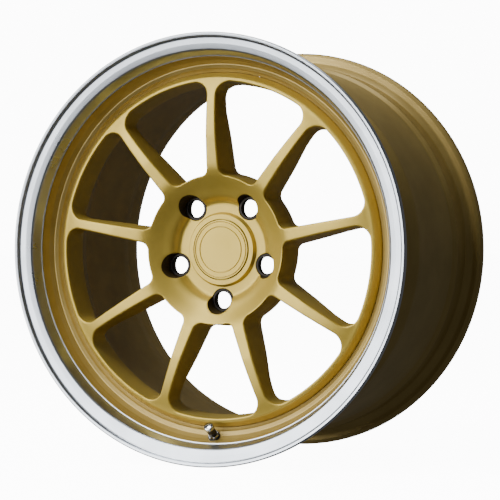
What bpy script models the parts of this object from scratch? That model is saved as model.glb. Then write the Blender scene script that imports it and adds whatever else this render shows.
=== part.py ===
"""Forged racing wheel rim, 17 x 9.5 inch, with welded rim halves, centre cap and clamp-in valve.

Frame: the wheel's axis lies along Y, the outboard face looks towards -Y, +Z is up, and the
origin is on the axis halfway across the rim. Turned pieces are drawn in the wheel's own
bench frame, where +Z points out of the outboard face, and one empty stands that frame up.
Depths are measured from the outboard flange plane, inwards. Units are metres.
"""

import math

import bmesh
import bpy
from mathutils import Matrix, Vector

mm = 0.001

# ---------------------------------------------------------------- driving dimensions
running_gap = 0.3 * mm            # clearance between pieces that touch on the real wheel

# rim contour
bead_seat_radius = 218.3 * mm     # 17 inch nominal
flange_height = 17.3 * mm         # J flange above the bead seat
rim_width = 241.3 * mm            # 9.5 inch, between the two bead faces
flange_width = 11.7 * mm          # bead face to the flange's outer face
bead_fillet = 6.5 * mm            # between the bead face and the bead seat
seat_drop = 1.0 * mm              # taper over the seat's width
hump_height = 1.7 * mm            # safety hump above the end of the seat
polished_root_drop = 2.3 * mm     # bead seat down to the top of the polished inner wall
polished_foot_drop = 7.1 * mm     # and down to its foot
polished_foot_depth = 21.4 * mm
sleeve_end_depth = 33.0 * mm      # where the outer half's sleeve stops
sleeve_wall = 3.2 * mm
weld_width = 2.4 * mm
well_drop = 17.8 * mm             # bead seat down to the drop centre
well_wall = 5.2 * mm
well_end_depth = 88.0 * mm        # where the drop centre starts to climb inboard
well_rise = 20.0 * mm             # length of that climb
barrel_drop = 7.3 * mm            # bead seat down to the barrel after the climb
barrel_taper = 3.5 * mm           # how much the barrel opens towards the inboard seat
barrel_wall = 4.5 * mm
ledge_depth = 41.6 * mm           # foot of the gold rim face, where the centre's ring starts
rim_segments = 54

# forged centre
ring_face_depth = 32.3 * mm
ring_face_width = 4.1 * mm
ring_flare = 5.6 * mm             # face edge out to the ring's full radius
ring_back_depth = 65.0 * mm
spoke_count = 9
hub_edge_radius = 82.3 * mm       # inner end of a window
spoke_width_at_hub = 15.0 * mm
spoke_width_at_ring = 10.6 * mm
crown_depth = 26.4 * mm           # the spokes' foremost point
crown_share = 0.42                # how far out along the spoke it lies
window_outer_fillet = 15.0 * mm
window_inner_fillet = 9.0 * mm
window_draft = 0.07               # inset for each unit of depth
spoke_back_at_ring = 53.6 * mm
spoke_back_at_hub = 74.0 * mm
back_step = 0.72                  # share of the spoke's length where its back levels out
floor_depth = 57.0 * mm           # flat floor around the boss
floor_width = 10.0 * mm
pad_depth = 76.0 * mm             # mounting face
pad_radius = 76.0 * mm

# wheel bolts
lug_count = 5
lug_circle_radius = 56.0 * mm     # 5 x 112
pocket_radius = 13.0 * mm         # at the floor
pocket_draft = 0.15
lug_seat_thickness = 3.0 * mm
lug_seat_bore_radius = 9.25 * mm
lug_seat_chamfer = 0.9 * mm
lug_ledge = 1.0 * mm              # pocket in to the bore behind the seat
stud_relief_width = 2.8 * mm      # that bore out to the relief in the mounting face
stud_relief_depth = 6.0 * mm
lug_segments = 20

# hub bore, boss and cap
boss_radius = 39.4 * mm
boss_height = 4.6 * mm            # boss face above the floor
boss_flare = 2.1 * mm
spigot_bore_radius = 36.7 * mm
spigot_bore_length = 12.0 * mm    # from the mounting face
hub_ring_wall = 3.1 * mm          # leaves a 66.6 mm bore
boss_wall = 5.4 * mm              # around the cap's recess
cap_recess_depth = 5.1 * mm
cap_ledge = 3.0 * mm              # recess in to the bore that the cap's legs grip
cap_plate_thickness = 3.2 * mm
cap_proud = 0.9 * mm              # cap face above the boss face
cap_edge_gap = 0.5 * mm           # ring-shaped gap around the cap
cap_leg_count = 6
cap_leg_wall = 1.8 * mm
cap_leg_slot = 6.0 * mm
cap_leg_clearance = 0.4 * mm
cap_wire_radius = 0.7 * mm
cap_segments = 36

# valve
valve_seat_depth = 34.8 * mm      # where its axis meets the rim's gold face
valve_seat_drop = 13.0 * mm       # bead seat down to the same point
valve_tilt = math.radians(40.0)   # the stem leans this far from the wheel's axis, inwards
valve_wall = 10.6 * mm            # metal between the two spot faces
valve_stem_radius = 4.1 * mm
valve_spot_margin = 0.7 * mm      # spot faces past the washers that sit on them
valve_rear_spot_sink = 0.4 * mm
valve_thread_depth = 0.3 * mm
valve_base_width = 1.7 * mm
valve_base_thickness = 3.0 * mm
valve_seal_thickness = 1.4 * mm
outer_seal_width = 2.7 * mm
valve_nut_width = 2.1 * mm        # stem out to the corners of its hexagon
valve_nut_height = 3.2 * mm
valve_cap_start = 8.6 * mm        # open end of the dust cap, above the seat point
valve_cap_length = 11.4 * mm
valve_cap_width = 1.6 * mm        # thread out to the corners of its hexagon
valve_cap_crown = 2.0 * mm
valve_gasket_thickness = 1.0 * mm
valve_gasket_bore_radius = 1.6 * mm
core_radius = 2.4 * mm
core_length = 6.5 * mm
core_sink = 1.5 * mm              # core's top below the stem's tip
core_chamber_radius = 1.6 * mm
core_floor_thickness = 2.0 * mm
core_seal_thickness = 1.4 * mm
pin_radius = 0.55 * mm
pin_head_radius = 1.2 * mm
pin_head_thickness = 0.7 * mm
pin_head_sink = 0.2 * mm          # pin's head below the stem's tip
pin_travel = 1.2 * mm
poppet_radius = 1.9 * mm
poppet_thickness = 1.4 * mm
spring_wire_radius = 0.18 * mm
spring_turns = 4
valve_segments = 14

# ---------------------------------------------------------------- derived sizes
overall_width = rim_width + 2 * flange_width
half_width = overall_width / 2
flange_radius = bead_seat_radius + flange_height
well_radius = bead_seat_radius - well_drop
well_bore_radius = well_radius - well_wall
seat_end_radius = bead_seat_radius - seat_drop
sleeve_radius = seat_end_radius - sleeve_wall
skirt_radius = sleeve_radius - running_gap
step_depth = sleeve_end_depth + 2 * running_gap + weld_width
polished_foot_radius = bead_seat_radius - polished_foot_drop
valve_seat_radius = bead_seat_radius - valve_seat_drop
valve_stem_bore = core_radius + running_gap
valve_thread_radius = valve_stem_radius - valve_thread_depth
valve_base_radius = valve_stem_radius + valve_base_width
valve_rear_spot_radius = valve_base_radius + valve_spot_margin
outer_seal_radius = valve_stem_radius + outer_seal_width
valve_spot_radius = outer_seal_radius + valve_spot_margin
valve_nut_radius = valve_stem_radius + valve_nut_width
valve_cap_radius = valve_thread_radius + valve_cap_width
cap_recess_radius = boss_radius - boss_wall
cap_bore_radius = cap_recess_radius - cap_ledge
hub_nose_radius = spigot_bore_radius - running_gap - hub_ring_wall
lug_bore_radius = pocket_radius - lug_ledge
stud_relief_radius = lug_bore_radius + stud_relief_width
valve_hole_radius = valve_stem_radius + running_gap
ring_radius = well_bore_radius - running_gap
window_outer_radius = ring_radius - ring_flare - ring_face_width
boss_depth = floor_depth - boss_height
spigot_shoulder_depth = pad_depth - spigot_bore_length
recess_floor_depth = boss_depth + cap_recess_depth
cap_face_depth = boss_depth - cap_proud
cap_under_depth = cap_face_depth + cap_plate_thickness
pocket_floor_depth = floor_depth + lug_seat_thickness + 2 * running_gap
pitch = 2 * math.pi / spoke_count

parts = bpy.data.collections.new("forged_racing_wheel_rim")
cutters = bpy.data.collections.new("cutters")


# ---------------------------------------------------------------- scene and materials
def clear_scene():
    for thing in list(bpy.data.objects):
        bpy.data.objects.remove(thing, do_unlink=True)
    for group in (parts, cutters):
        bpy.context.scene.collection.children.link(group)


def finish(name, colour, roughness, metallic):
    """A Principled BSDF in one colour, roughness and metallic value."""
    look = bpy.data.materials.new(name)
    look.use_nodes = True
    shader = look.node_tree.nodes["Principled BSDF"]
    shader.inputs["Base Color"].default_value = (*colour, 1.0)
    shader.inputs["Roughness"].default_value = roughness
    shader.inputs["Metallic"].default_value = metallic
    return look


machined = finish("machined_aluminium", (0.74, 0.75, 0.77), 0.18, 1.0)
gold = finish("gold_paint", (0.51, 0.36, 0.13), 0.38, 0.6)
weld_metal = finish("weld_aluminium", (0.55, 0.55, 0.55), 0.45, 1.0)
steel = finish("zinc_steel", (0.42, 0.42, 0.43), 0.3, 1.0)
chrome = finish("chrome", (0.78, 0.79, 0.80), 0.08, 1.0)
brass = finish("valve_brass", (0.62, 0.45, 0.20), 0.3, 1.0)
rubber = finish("black_rubber", (0.02, 0.02, 0.02), 0.7, 0.0)
nylon = finish("black_nylon", (0.03, 0.03, 0.03), 0.5, 0.0)
spring_steel = finish("spring_steel", (0.35, 0.35, 0.36), 0.3, 1.0)
white_plastic = finish("white_ptfe", (0.8, 0.8, 0.78), 0.5, 0.0)


# ---------------------------------------------------------------- shape helpers
def empty_at(name, location, rotation):
    frame = bpy.data.objects.new(name, None)
    frame.location = location
    frame.rotation_euler = rotation
    parts.objects.link(frame)
    return frame


def place(thing, look, parent=None, group=parts, location=(0, 0, 0), angle=0.0):
    group.objects.link(thing)
    thing.parent = parent
    thing.location = location
    thing.rotation_euler = (0, 0, angle)
    if look:
        thing.data.materials.append(look)
        thing.data.shade_smooth()
    else:
        thing.hide_render = True
        thing.display_type = "WIRE"
    return thing


def turned(name, profile, segments, look, parent=None, group=parts, location=(0, 0, 0)):
    """Turn a profile of (radius, height) points about Z.

    The points run outwards over the top, down the outer side and back underneath. A profile
    that starts on the axis is a solid disc or rod, any other is closed into a ring.
    """
    mesh = bpy.data.meshes.new(name)
    points = [(radius, 0.0, height) for radius, height in profile]
    edges = [(i, i + 1) for i in range(len(points) - 1)]
    if profile[0][0] > 0:
        edges.append((len(points) - 1, 0))
    mesh.from_pydata(points, edges, [])
    thing = bpy.data.objects.new(name, mesh)
    place(thing, look, parent, group, location)
    screw = thing.modifiers.new("turn", "SCREW")
    screw.axis = "Z"
    screw.angle = 2 * math.pi
    screw.steps = segments
    screw.render_steps = segments
    screw.use_merge_vertices = True
    screw.merge_threshold = 0.00001
    screw.use_smooth_shade = True
    return thing


def at_depths(points):
    """Turn (radius, depth below the outboard plane) into (radius, height)."""
    return [(radius, half_width - depth) for radius, depth in points]


def height_of(depth):
    return half_width - depth


def cut(thing, cutter):
    """Take one cutter, or every cutter in a collection, out of an object."""
    difference = thing.modifiers.new("cut", "BOOLEAN")
    difference.operation = "DIFFERENCE"
    difference.solver = "EXACT"
    if isinstance(cutter, bpy.types.Collection):
        difference.operand_type = "COLLECTION"
        difference.collection = cutter
    else:
        difference.object = cutter


def cutter_group(name):
    group = bpy.data.collections.new(name)
    cutters.children.link(group)
    return group


def arc(centre, radius, start, end, count):
    """Points on an arc, both ends included."""
    step = (end - start) / (count - 1)
    return [
        centre + radius * Vector((math.cos(start + i * step), math.sin(start + i * step)))
        for i in range(count)
    ]


def primitive(name, make, **sizes):
    """Mesh object from one of bmesh's primitives."""
    bm = bmesh.new()
    make(bm, **sizes)
    mesh = bpy.data.meshes.new(name)
    bm.to_mesh(mesh)
    bm.free()
    return bpy.data.objects.new(name, mesh)


# ---------------------------------------------------------------- rim halves
def bead_flange(depth_of):
    """Flange, bead fillet and seat of one side, from the outer plane towards the well."""
    centre = Vector((bead_seat_radius + bead_fillet, flange_width + bead_fillet))
    fillet = arc(centre, bead_fillet, -math.pi / 2, -math.pi, 3)
    points = [
        (flange_radius - 1.2 * mm, 0.0),
        (flange_radius, 1.4 * mm),
        (flange_radius, 5.5 * mm),
        (flange_radius - 1.4 * mm, 9.6 * mm),
        (flange_radius - 4.6 * mm, flange_width),
    ]
    points += [tuple(point) for point in fillet]
    return [(radius, depth_of(depth)) for radius, depth in points]


def outer_lip(wheel):
    """Machined outer half: flange, bead seat and the sleeve that slips over the barrel."""
    profile = [
        (polished_foot_radius, polished_foot_depth),
        (bead_seat_radius - polished_root_drop, 8.6 * mm),
        (bead_seat_radius - 0.7 * mm, 7.0 * mm),
        (flange_radius - 6.0 * mm, 4.8 * mm),
        (flange_radius - 4.9 * mm, 4.2 * mm),
        (flange_radius - 4.0 * mm, 0.0),
    ]
    profile += bead_flange(lambda depth: depth)
    profile += [
        (seat_end_radius, sleeve_end_depth),
        (sleeve_radius, sleeve_end_depth),
        (sleeve_radius, polished_foot_depth),
    ]
    return turned("outer_lip", at_depths(profile), rim_segments, machined, wheel)


def inboard(depth):
    """Depth of a point measured outwards from the inboard flange plane."""
    return overall_width - depth


def valve_slope(radius):
    """Depth of the air-side slope behind the valve, which is square to the valve's axis."""
    thickness = valve_wall + valve_rear_spot_sink
    foot_radius = valve_seat_radius + thickness * math.sin(valve_tilt)
    foot_depth = valve_seat_depth + thickness * math.cos(valve_tilt)
    return foot_depth - (radius - foot_radius) * math.tan(valve_tilt)


def inner_barrel(wheel):
    """Gold inner half: the face seen around the spokes, drop centre, barrel and inboard flange."""
    barrel_radius = bead_seat_radius - barrel_drop
    climb_end = well_end_depth + well_rise
    hump_radius = seat_end_radius + hump_height
    hump_end = hump_radius - 1.0 * mm
    outside = [
        (skirt_radius, polished_foot_depth + running_gap),
        (skirt_radius, step_depth),
        (seat_end_radius, step_depth),
        (hump_radius, step_depth + 1.2 * mm),
        (hump_end, valve_slope(hump_end)),
        (well_radius, valve_slope(well_radius)),
        (well_radius, well_end_depth),
        (barrel_radius, climb_end + 4.0 * mm),
        (barrel_radius + barrel_taper, inboard(52.7 * mm)),
        (seat_end_radius + hump_height, inboard(45.7 * mm)),
        (seat_end_radius, inboard(42.0 * mm)),
    ]
    outside += reversed(bead_flange(inboard))
    inside = [
        (bead_seat_radius + 3.7 * mm, inboard(0.0)),
        (bead_seat_radius + 0.7 * mm, inboard(2.7 * mm)),
        (bead_seat_radius - 5.8 * mm, inboard(19.7 * mm)),
        (bead_seat_radius - 6.3 * mm, inboard(38.7 * mm)),
        (barrel_radius + barrel_taper - barrel_wall, inboard(52.7 * mm)),
        (barrel_radius - barrel_wall, climb_end + 4.0 * mm),
        (well_bore_radius, well_end_depth - 4.0 * mm),
        (well_bore_radius, ledge_depth),
        (well_bore_radius + 1.5 * mm, ledge_depth - 0.8 * mm),
        (well_bore_radius + 5.5 * mm, ledge_depth - 4.3 * mm),
        (well_bore_radius + 7.7 * mm, ledge_depth - 5.4 * mm),
        (well_bore_radius + 10.2 * mm, ledge_depth - 7.3 * mm),
        (well_bore_radius + 12.5 * mm, ledge_depth - 10.6 * mm),
        (polished_foot_radius - 1.6 * mm, polished_foot_depth + 4.6 * mm),
        (polished_foot_radius - 0.5 * mm, polished_foot_depth + running_gap),
    ]
    barrel = turned("inner_barrel", at_depths(outside + inside), rim_segments, gold, wheel)
    seat = valve_frame("valve_hole_frame", cutters)
    profile = [
        (0, 12 * mm),
        (valve_spot_radius, 12 * mm),
        (valve_spot_radius, 0),
        (valve_hole_radius, 0),
        (valve_hole_radius, -valve_wall),
        (valve_rear_spot_radius, -valve_wall),
        (valve_rear_spot_radius, -valve_wall - 6 * mm),
        (0, -valve_wall - 6 * mm),
    ]
    hole = turned("valve_hole_cutter", profile, valve_segments, None, seat, cutters)
    cut(barrel, hole)
    return barrel


def lip_weld(wheel):
    """Weld bead that fills the groove between the sleeve's end and the barrel's step."""
    root = skirt_radius + running_gap
    start = sleeve_end_depth + running_gap
    crown = start + weld_width / 2
    profile = [
        (root, start),
        (seat_end_radius, start),
        (seat_end_radius + 0.5 * mm, crown),
        (seat_end_radius, start + weld_width),
        (root, start + weld_width),
    ]
    return turned("lip_weld", at_depths(profile), rim_segments, weld_metal, wheel)


def center_weld(wheel):
    """Weld fillet between the back of the centre's ring and the bore of the drop centre."""
    top = ring_back_depth + running_gap
    leg = 5.0 * mm
    profile = [
        (ring_radius - leg, top),
        (ring_radius, top),
        (ring_radius, top + leg),
    ]
    return turned("center_weld", at_depths(profile), rim_segments, weld_metal, wheel)


# ---------------------------------------------------------------- forged centre
def spoke_face_depth(share):
    """Depth of the spokes' face; share runs from 0 at the hub's edge to 1 at the ring."""
    if share < crown_share:
        return crown_depth + 11.5 * mm * (crown_share - share)
    rise = ring_face_depth - 0.5 * mm - crown_depth
    return crown_depth + rise * ((share - crown_share) / (1 - crown_share)) ** 3


def center_profile():
    span = window_outer_radius - hub_edge_radius
    floor_edge = boss_radius + boss_flare + floor_width
    face_edge = window_outer_radius + ring_face_width
    boss = [
        (cap_recess_radius, boss_depth),
        (boss_radius - 0.6 * mm, boss_depth),
        (boss_radius, boss_depth + 0.6 * mm),
        (boss_radius + boss_flare, floor_depth),
    ]
    dish = [
        (floor_edge, floor_depth),
        (floor_edge + 2.0 * mm, floor_depth - 1.0 * mm),
        (floor_edge + 6.5 * mm, floor_depth - 7.5 * mm),
        (hub_edge_radius - 5.3 * mm, crown_depth + 10.8 * mm),
        (hub_edge_radius + 0.5 * mm, crown_depth + 7.4 * mm),
        (hub_edge_radius + 5.7 * mm, crown_depth + 4.9 * mm),
    ]
    crown_shares = (0.12, 0.25, crown_share, 0.7, 0.87)
    crown = [(hub_edge_radius + share * span, spoke_face_depth(share)) for share in crown_shares]
    ring = [
        (window_outer_radius, ring_face_depth - 0.5 * mm),
        (face_edge, ring_face_depth),
        (ring_radius - 0.7 * mm, ring_face_depth + 7.0 * mm),
        (ring_radius, ring_face_depth + 8.8 * mm),
        (ring_radius, ring_back_depth - 1.5 * mm),
        (ring_radius - 1.5 * mm, ring_back_depth),
        (window_outer_radius - 3.4 * mm, ring_back_depth),
        (window_outer_radius - 8.0 * mm, spoke_back_at_ring + 2.0 * mm),
    ]
    back = [
        (hub_edge_radius + back_step * span, spoke_back_at_ring),
        (hub_edge_radius + 0.42 * span, spoke_back_at_ring + 10.0 * mm),
        (hub_edge_radius, spoke_back_at_hub),
        (pad_radius, spoke_back_at_hub),
        (pad_radius, pad_depth),
        (spigot_bore_radius + 1.0 * mm, pad_depth),
        (spigot_bore_radius, pad_depth - 1.0 * mm),
        (spigot_bore_radius, spigot_shoulder_depth),
        (cap_bore_radius, spigot_shoulder_depth),
        (cap_bore_radius, recess_floor_depth),
        (cap_recess_radius, recess_floor_depth),
    ]
    return at_depths(boss + dish + crown + ring + back)


def window_outline(inset):
    """Rounded outline between two spokes, centred on +X and drawn anticlockwise.

    Each side runs along a spoke, the ends are arcs about the wheel's axis, and four fillets
    are tangent to them. The inset shrinks it all round.
    """
    outer = window_outer_radius - inset
    inner = hub_edge_radius + inset
    near = Vector((hub_edge_radius, spoke_width_at_hub / 2 + inset))
    far = Vector((window_outer_radius, spoke_width_at_ring / 2 + inset))
    along = (far - near).normalized()
    across = Vector((-along.y, along.x))
    offset = across.dot(near)

    def fillet_centre(distance, fillet):
        side = offset + fillet
        return across * side + along * math.sqrt(distance ** 2 - side ** 2)

    low = fillet_centre(inner + window_inner_fillet, window_inner_fillet)
    high = fillet_centre(outer - window_outer_fillet, window_outer_fillet)
    to_side = math.atan2(-across.y, -across.x)
    inner_start = math.atan2(-low.y, -low.x)
    outer_end = math.atan2(high.y, high.x)
    half = arc(low, window_inner_fillet, inner_start, to_side, 5)
    half += arc(high, window_outer_fillet, to_side, outer_end, 6)
    turn = Matrix.Rotation(-pitch / 2, 2)
    half = [turn @ point for point in half]
    inner_angle = math.atan2(half[0].y, half[0].x)
    outer_angle = math.atan2(half[-1].y, half[-1].x)
    outer_arc = arc(Vector((0, 0)), outer, outer_angle, -outer_angle, 6)[1:-1]
    inner_arc = arc(Vector((0, 0)), inner, -inner_angle, inner_angle, 3)[1:-1]
    mirrored = [Vector((point.x, -point.y)) for point in reversed(half)]
    return half + outer_arc + mirrored + inner_arc


def window_cutter(index):
    """Drafted plug for one window: wide in front, narrower behind."""
    levels = (ring_face_depth - 20 * mm, pad_depth + 8 * mm)
    bm = bmesh.new()
    rings = []
    for depth in levels:
        inset = (depth - ring_face_depth) * window_draft
        outline = window_outline(inset)
        rings.append([bm.verts.new((point.x, point.y, height_of(depth))) for point in outline])
    bm.faces.new(rings[0])
    bm.faces.new(list(reversed(rings[1])))
    count = len(rings[0])
    for i in range(count):
        j = (i + 1) % count
        bm.faces.new((rings[0][j], rings[0][i], rings[1][i], rings[1][j]))
    bmesh.ops.recalc_face_normals(bm, faces=bm.faces)
    mesh = bpy.data.meshes.new(f"window_cutter_{index + 1}")
    bm.to_mesh(mesh)
    bm.free()
    return bpy.data.objects.new(mesh.name, mesh)


def lug_position(index):
    """Bolt holes start straight down and go round."""
    angle = -math.pi / 2 + index * 2 * math.pi / lug_count
    return (lug_circle_radius * math.cos(angle), lug_circle_radius * math.sin(angle), 0)


def forged_center(wheel):
    """Hub, spokes and ring, turned from one forging; windows and bolt pockets are milled out."""
    center = turned("forged_center", center_profile(), rim_segments, gold, wheel)
    windows = cutter_group("window_cutters")
    for index in range(spoke_count):
        middle = math.pi / 2 + (index + 0.5) * pitch
        place(window_cutter(index), None, wheel, windows, angle=middle)
    cut(center, windows)
    pockets = cutter_group("lug_pocket_cutters")
    above = floor_depth - 40 * mm
    wide = pocket_radius + pocket_draft * (floor_depth - above)
    relief = pad_depth - stud_relief_depth
    profile = [
        (0, above),
        (wide, above),
        (pocket_radius, floor_depth),
        (pocket_radius, pocket_floor_depth),
        (lug_bore_radius, pocket_floor_depth),
        (lug_bore_radius, relief),
        (stud_relief_radius, relief),
        (stud_relief_radius, pad_depth + 4 * mm),
        (0, pad_depth + 4 * mm),
    ]
    for index in range(lug_count):
        name = f"lug_pocket_cutter_{index + 1}"
        turned(name, at_depths(profile), lug_segments, None, wheel, pockets, lug_position(index))
    cut(center, pockets)
    return center


def lug_seats(wheel):
    """Steel seat washers pressed into the bolt pockets."""
    outer = pocket_radius - running_gap
    top = height_of(floor_depth + running_gap)
    bottom = top - lug_seat_thickness
    profile = [
        (lug_seat_bore_radius + lug_seat_chamfer, top),
        (outer, top),
        (outer, bottom),
        (lug_seat_bore_radius, bottom),
        (lug_seat_bore_radius, top - lug_seat_chamfer),
    ]
    for index in range(lug_count):
        name = f"lug_seat_{index + 1}"
        turned(name, profile, lug_segments, steel, wheel, location=lug_position(index))


def hub_ring(wheel):
    """Spigot ring that takes the wheel's bore down to the car's hub."""
    outer = spigot_bore_radius - running_gap
    top = height_of(spigot_shoulder_depth + running_gap)
    bottom = height_of(pad_depth - 0.5 * mm)
    profile = [
        (hub_nose_radius, top),
        (outer, top),
        (outer, bottom),
        (hub_nose_radius + 1.2 * mm, bottom),
        (hub_nose_radius, bottom + 1.2 * mm),
    ]
    return turned("hub_ring", profile, cap_segments, nylon, wheel)


# ---------------------------------------------------------------- centre cap
def cap_plate(wheel):
    """Painted aluminium disc that stands just proud of the boss."""
    radius = cap_recess_radius - cap_edge_gap
    profile = [
        (0, cap_face_depth),
        (radius - 0.8 * mm, cap_face_depth),
        (radius, cap_face_depth + 0.8 * mm),
        (radius, cap_under_depth),
        (0, cap_under_depth),
    ]
    return turned("cap_plate", at_depths(profile), cap_segments, gold, wheel)


def cap_clip(wheel):
    """Nylon carrier under the plate, with sprung legs that grip the bore."""
    top = cap_under_depth + running_gap
    web = 1.6 * mm
    leg_radius = cap_bore_radius - cap_leg_clearance
    inner = leg_radius - cap_leg_wall
    end = spigot_shoulder_depth + 2.0 * mm
    profile = [
        (0, top),
        (leg_radius, top),
        (leg_radius, end - 0.6 * mm),
        (leg_radius - 0.6 * mm, end),
        (inner, end),
        (inner, top + web),
        (0, top + web),
    ]
    clip = turned("cap_clip", at_depths(profile), cap_segments, nylon, wheel)
    slots = cutter_group("cap_slot_cutters")
    slot_top = top + web + 0.8 * mm
    size = Vector((2 * leg_radius + 8 * mm, cap_leg_slot, end + 4 * mm - slot_top))
    for index in range(cap_leg_count // 2):
        name = f"cap_slot_cutter_{index + 1}"
        slot = primitive(name, bmesh.ops.create_cube, size=1.0, matrix=Matrix.Diagonal((*size, 1)))
        middle = (0, 0, height_of(slot_top) - size.z / 2)
        place(slot, None, wheel, slots, middle, index * 2 * math.pi / cap_leg_count)
    cut(clip, slots)
    return clip


def cap_wire(wheel):
    """Round wire ring that keeps the cap's legs sprung outwards."""
    inner = cap_bore_radius - cap_leg_clearance - cap_leg_wall
    centre = Vector((inner - running_gap - cap_wire_radius, height_of(spigot_shoulder_depth)))
    section = arc(centre, cap_wire_radius, math.pi / 2, -math.pi * 1.3, 7)
    profile = [tuple(point) for point in section]
    return turned("cap_wire", profile, cap_segments, spring_steel, wheel)


# ---------------------------------------------------------------- valve
def valve_frame(name, group=parts):
    """Empty on the valve's seat point, at the bottom of the wheel, with +Z out along the stem."""
    frame = bpy.data.objects.new(name, None)
    frame.location = (0, valve_seat_depth - half_width, -valve_seat_radius)
    frame.rotation_euler = (math.pi / 2 - valve_tilt, 0, 0)
    group.objects.link(frame)
    return frame


def ring_of(inner, outer, top, bottom):
    """Profile of a plain ring."""
    return [(inner, top), (outer, top), (outer, bottom), (inner, bottom)]


def hexagon(name, corner_radius, top, bottom, bore_radius, bore_top, axis):
    """Bevelled hexagonal prism along the valve's axis, bored from below up to bore_top."""
    height = top - bottom
    prism = primitive(
        name,
        bmesh.ops.create_cone,
        cap_ends=True,
        segments=6,
        radius1=corner_radius,
        radius2=corner_radius,
        depth=height,
    )
    place(prism, chrome, axis, location=(0, 0, (top + bottom) / 2))
    bevel = prism.modifiers.new("edges", "BEVEL")
    bevel.width = 0.4 * mm
    bevel.segments = 1
    bevel.limit_method = "ANGLE"
    below = bottom - 4 * mm
    bore = [(0, bore_top), (bore_radius, bore_top), (bore_radius, below), (0, below)]
    cut(prism, turned(name + "_cutter", bore, valve_segments, None, axis, cutters))
    return prism


def valve_pieces():
    """Everything along the valve's axis; heights are measured out from the seat point."""
    axis = valve_frame("valve_axis")
    seal_top = -valve_wall - running_gap
    seal_bottom = seal_top - valve_seal_thickness
    base_top = seal_bottom - running_gap
    base_bottom = base_top - valve_base_thickness
    outer_seal_top = running_gap + valve_seal_thickness
    nut_bottom = outer_seal_top + running_gap
    nut_top = nut_bottom + valve_nut_height
    cap_top = valve_cap_start + valve_cap_length
    bore_top = cap_top - valve_cap_crown
    gasket_top = bore_top - running_gap
    gasket_bottom = gasket_top - valve_gasket_thickness
    tip = gasket_bottom - running_gap
    seal_bore = valve_stem_radius + running_gap

    stem = [
        (valve_stem_bore, tip),
        (valve_thread_radius, tip),
        (valve_thread_radius, valve_cap_start - 0.6 * mm),
        (valve_stem_radius, valve_cap_start - 0.9 * mm),
        (valve_stem_radius, base_top),
        (valve_base_radius, base_top),
        (valve_base_radius, base_bottom),
        (valve_stem_bore, base_bottom),
    ]
    turned("valve_stem", stem, valve_segments, brass, axis)
    inner_seal = ring_of(seal_bore, valve_base_radius, seal_top, seal_bottom)
    turned("valve_inner_seal", inner_seal, valve_segments, rubber, axis)
    outer_seal = ring_of(seal_bore, outer_seal_radius, outer_seal_top, running_gap)
    turned("valve_outer_seal", outer_seal, valve_segments, rubber, axis)
    hexagon("valve_nut", valve_nut_radius, nut_top, nut_bottom, seal_bore, nut_top + 4 * mm, axis)
    valve_core(axis, tip)
    cap_bore = valve_thread_radius + running_gap
    hexagon("valve_cap", valve_cap_radius, cap_top, valve_cap_start, cap_bore, bore_top, axis)
    gasket = ring_of(valve_gasket_bore_radius, cap_bore - running_gap, gasket_top, gasket_bottom)
    turned("valve_cap_gasket", gasket, valve_segments, rubber, axis)


def valve_core(axis, tip):
    """Screwed-in core: body, seal, sprung pin and the spring under the pin's head."""
    body_top = tip - core_sink
    body_bottom = body_top - core_length
    chamber_floor = body_bottom + core_floor_thickness
    guide = guide_clearance()
    body = [
        (core_chamber_radius, body_top),
        (core_radius, body_top),
        (core_radius, body_bottom),
        (guide, body_bottom),
        (guide, chamber_floor),
        (core_chamber_radius, chamber_floor),
    ]
    turned("valve_core_body", body, valve_segments, brass, axis)
    seal_top = body_bottom - running_gap
    seal_bottom = seal_top - core_seal_thickness
    seal = ring_of(guide, core_radius, seal_top, seal_bottom)
    turned("valve_core_seal", seal, valve_segments, white_plastic, axis)

    head_top = tip - pin_head_sink
    head_bottom = head_top - pin_head_thickness
    poppet_top = seal_bottom - running_gap
    poppet_bottom = poppet_top - poppet_thickness
    pin = [
        (0, head_top),
        (pin_head_radius, head_top),
        (pin_head_radius, head_bottom),
        (pin_radius, head_bottom),
        (pin_radius, poppet_top),
        (poppet_radius, poppet_top),
        (poppet_radius, poppet_bottom),
        (0, poppet_bottom),
    ]
    turned("valve_core_pin", pin, valve_segments, brass, axis)
    spring_top = head_bottom - pin_travel - running_gap - spring_wire_radius
    spring_bottom = chamber_floor + running_gap + spring_wire_radius
    core_spring(axis, spring_bottom, spring_top)


def core_spring(axis, bottom, top):
    """Coil round the pin, drawn at the length it has when the pin is pressed."""
    mean = (guide_clearance() + core_chamber_radius) / 2
    steps_per_turn = 10
    count = spring_turns * steps_per_turn + 1
    wire = bpy.data.curves.new("valve_core_spring", "CURVE")
    wire.dimensions = "3D"
    wire.bevel_depth = spring_wire_radius
    wire.bevel_resolution = 1
    wire.use_fill_caps = True
    spline = wire.splines.new("POLY")
    spline.points.add(count - 1)
    for i, point in enumerate(spline.points):
        turn = 2 * math.pi * i / steps_per_turn
        height = bottom + (top - bottom) * i / (count - 1)
        point.co = (mean * math.cos(turn), mean * math.sin(turn), height, 1)
    wire.materials.append(spring_steel)
    spring = bpy.data.objects.new("valve_core_spring", wire)
    parts.objects.link(spring)
    spring.parent = axis


def guide_clearance():
    return pin_radius + running_gap


# ---------------------------------------------------------------- the wheel
def build():
    clear_scene()
    wheel = empty_at("wheel_axis", (0, 0, 0), (math.pi / 2, 0, 0))
    outer_lip(wheel)
    inner_barrel(wheel)
    lip_weld(wheel)
    forged_center(wheel)
    center_weld(wheel)
    lug_seats(wheel)
    hub_ring(wheel)
    cap_plate(wheel)
    cap_clip(wheel)
    cap_wire(wheel)
    valve_pieces()


build()
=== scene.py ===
import math

import bpy
import bmesh
import numpy as np
from mathutils import Matrix, Vector, geometry
from mathutils.kdtree import KDTree


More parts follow.
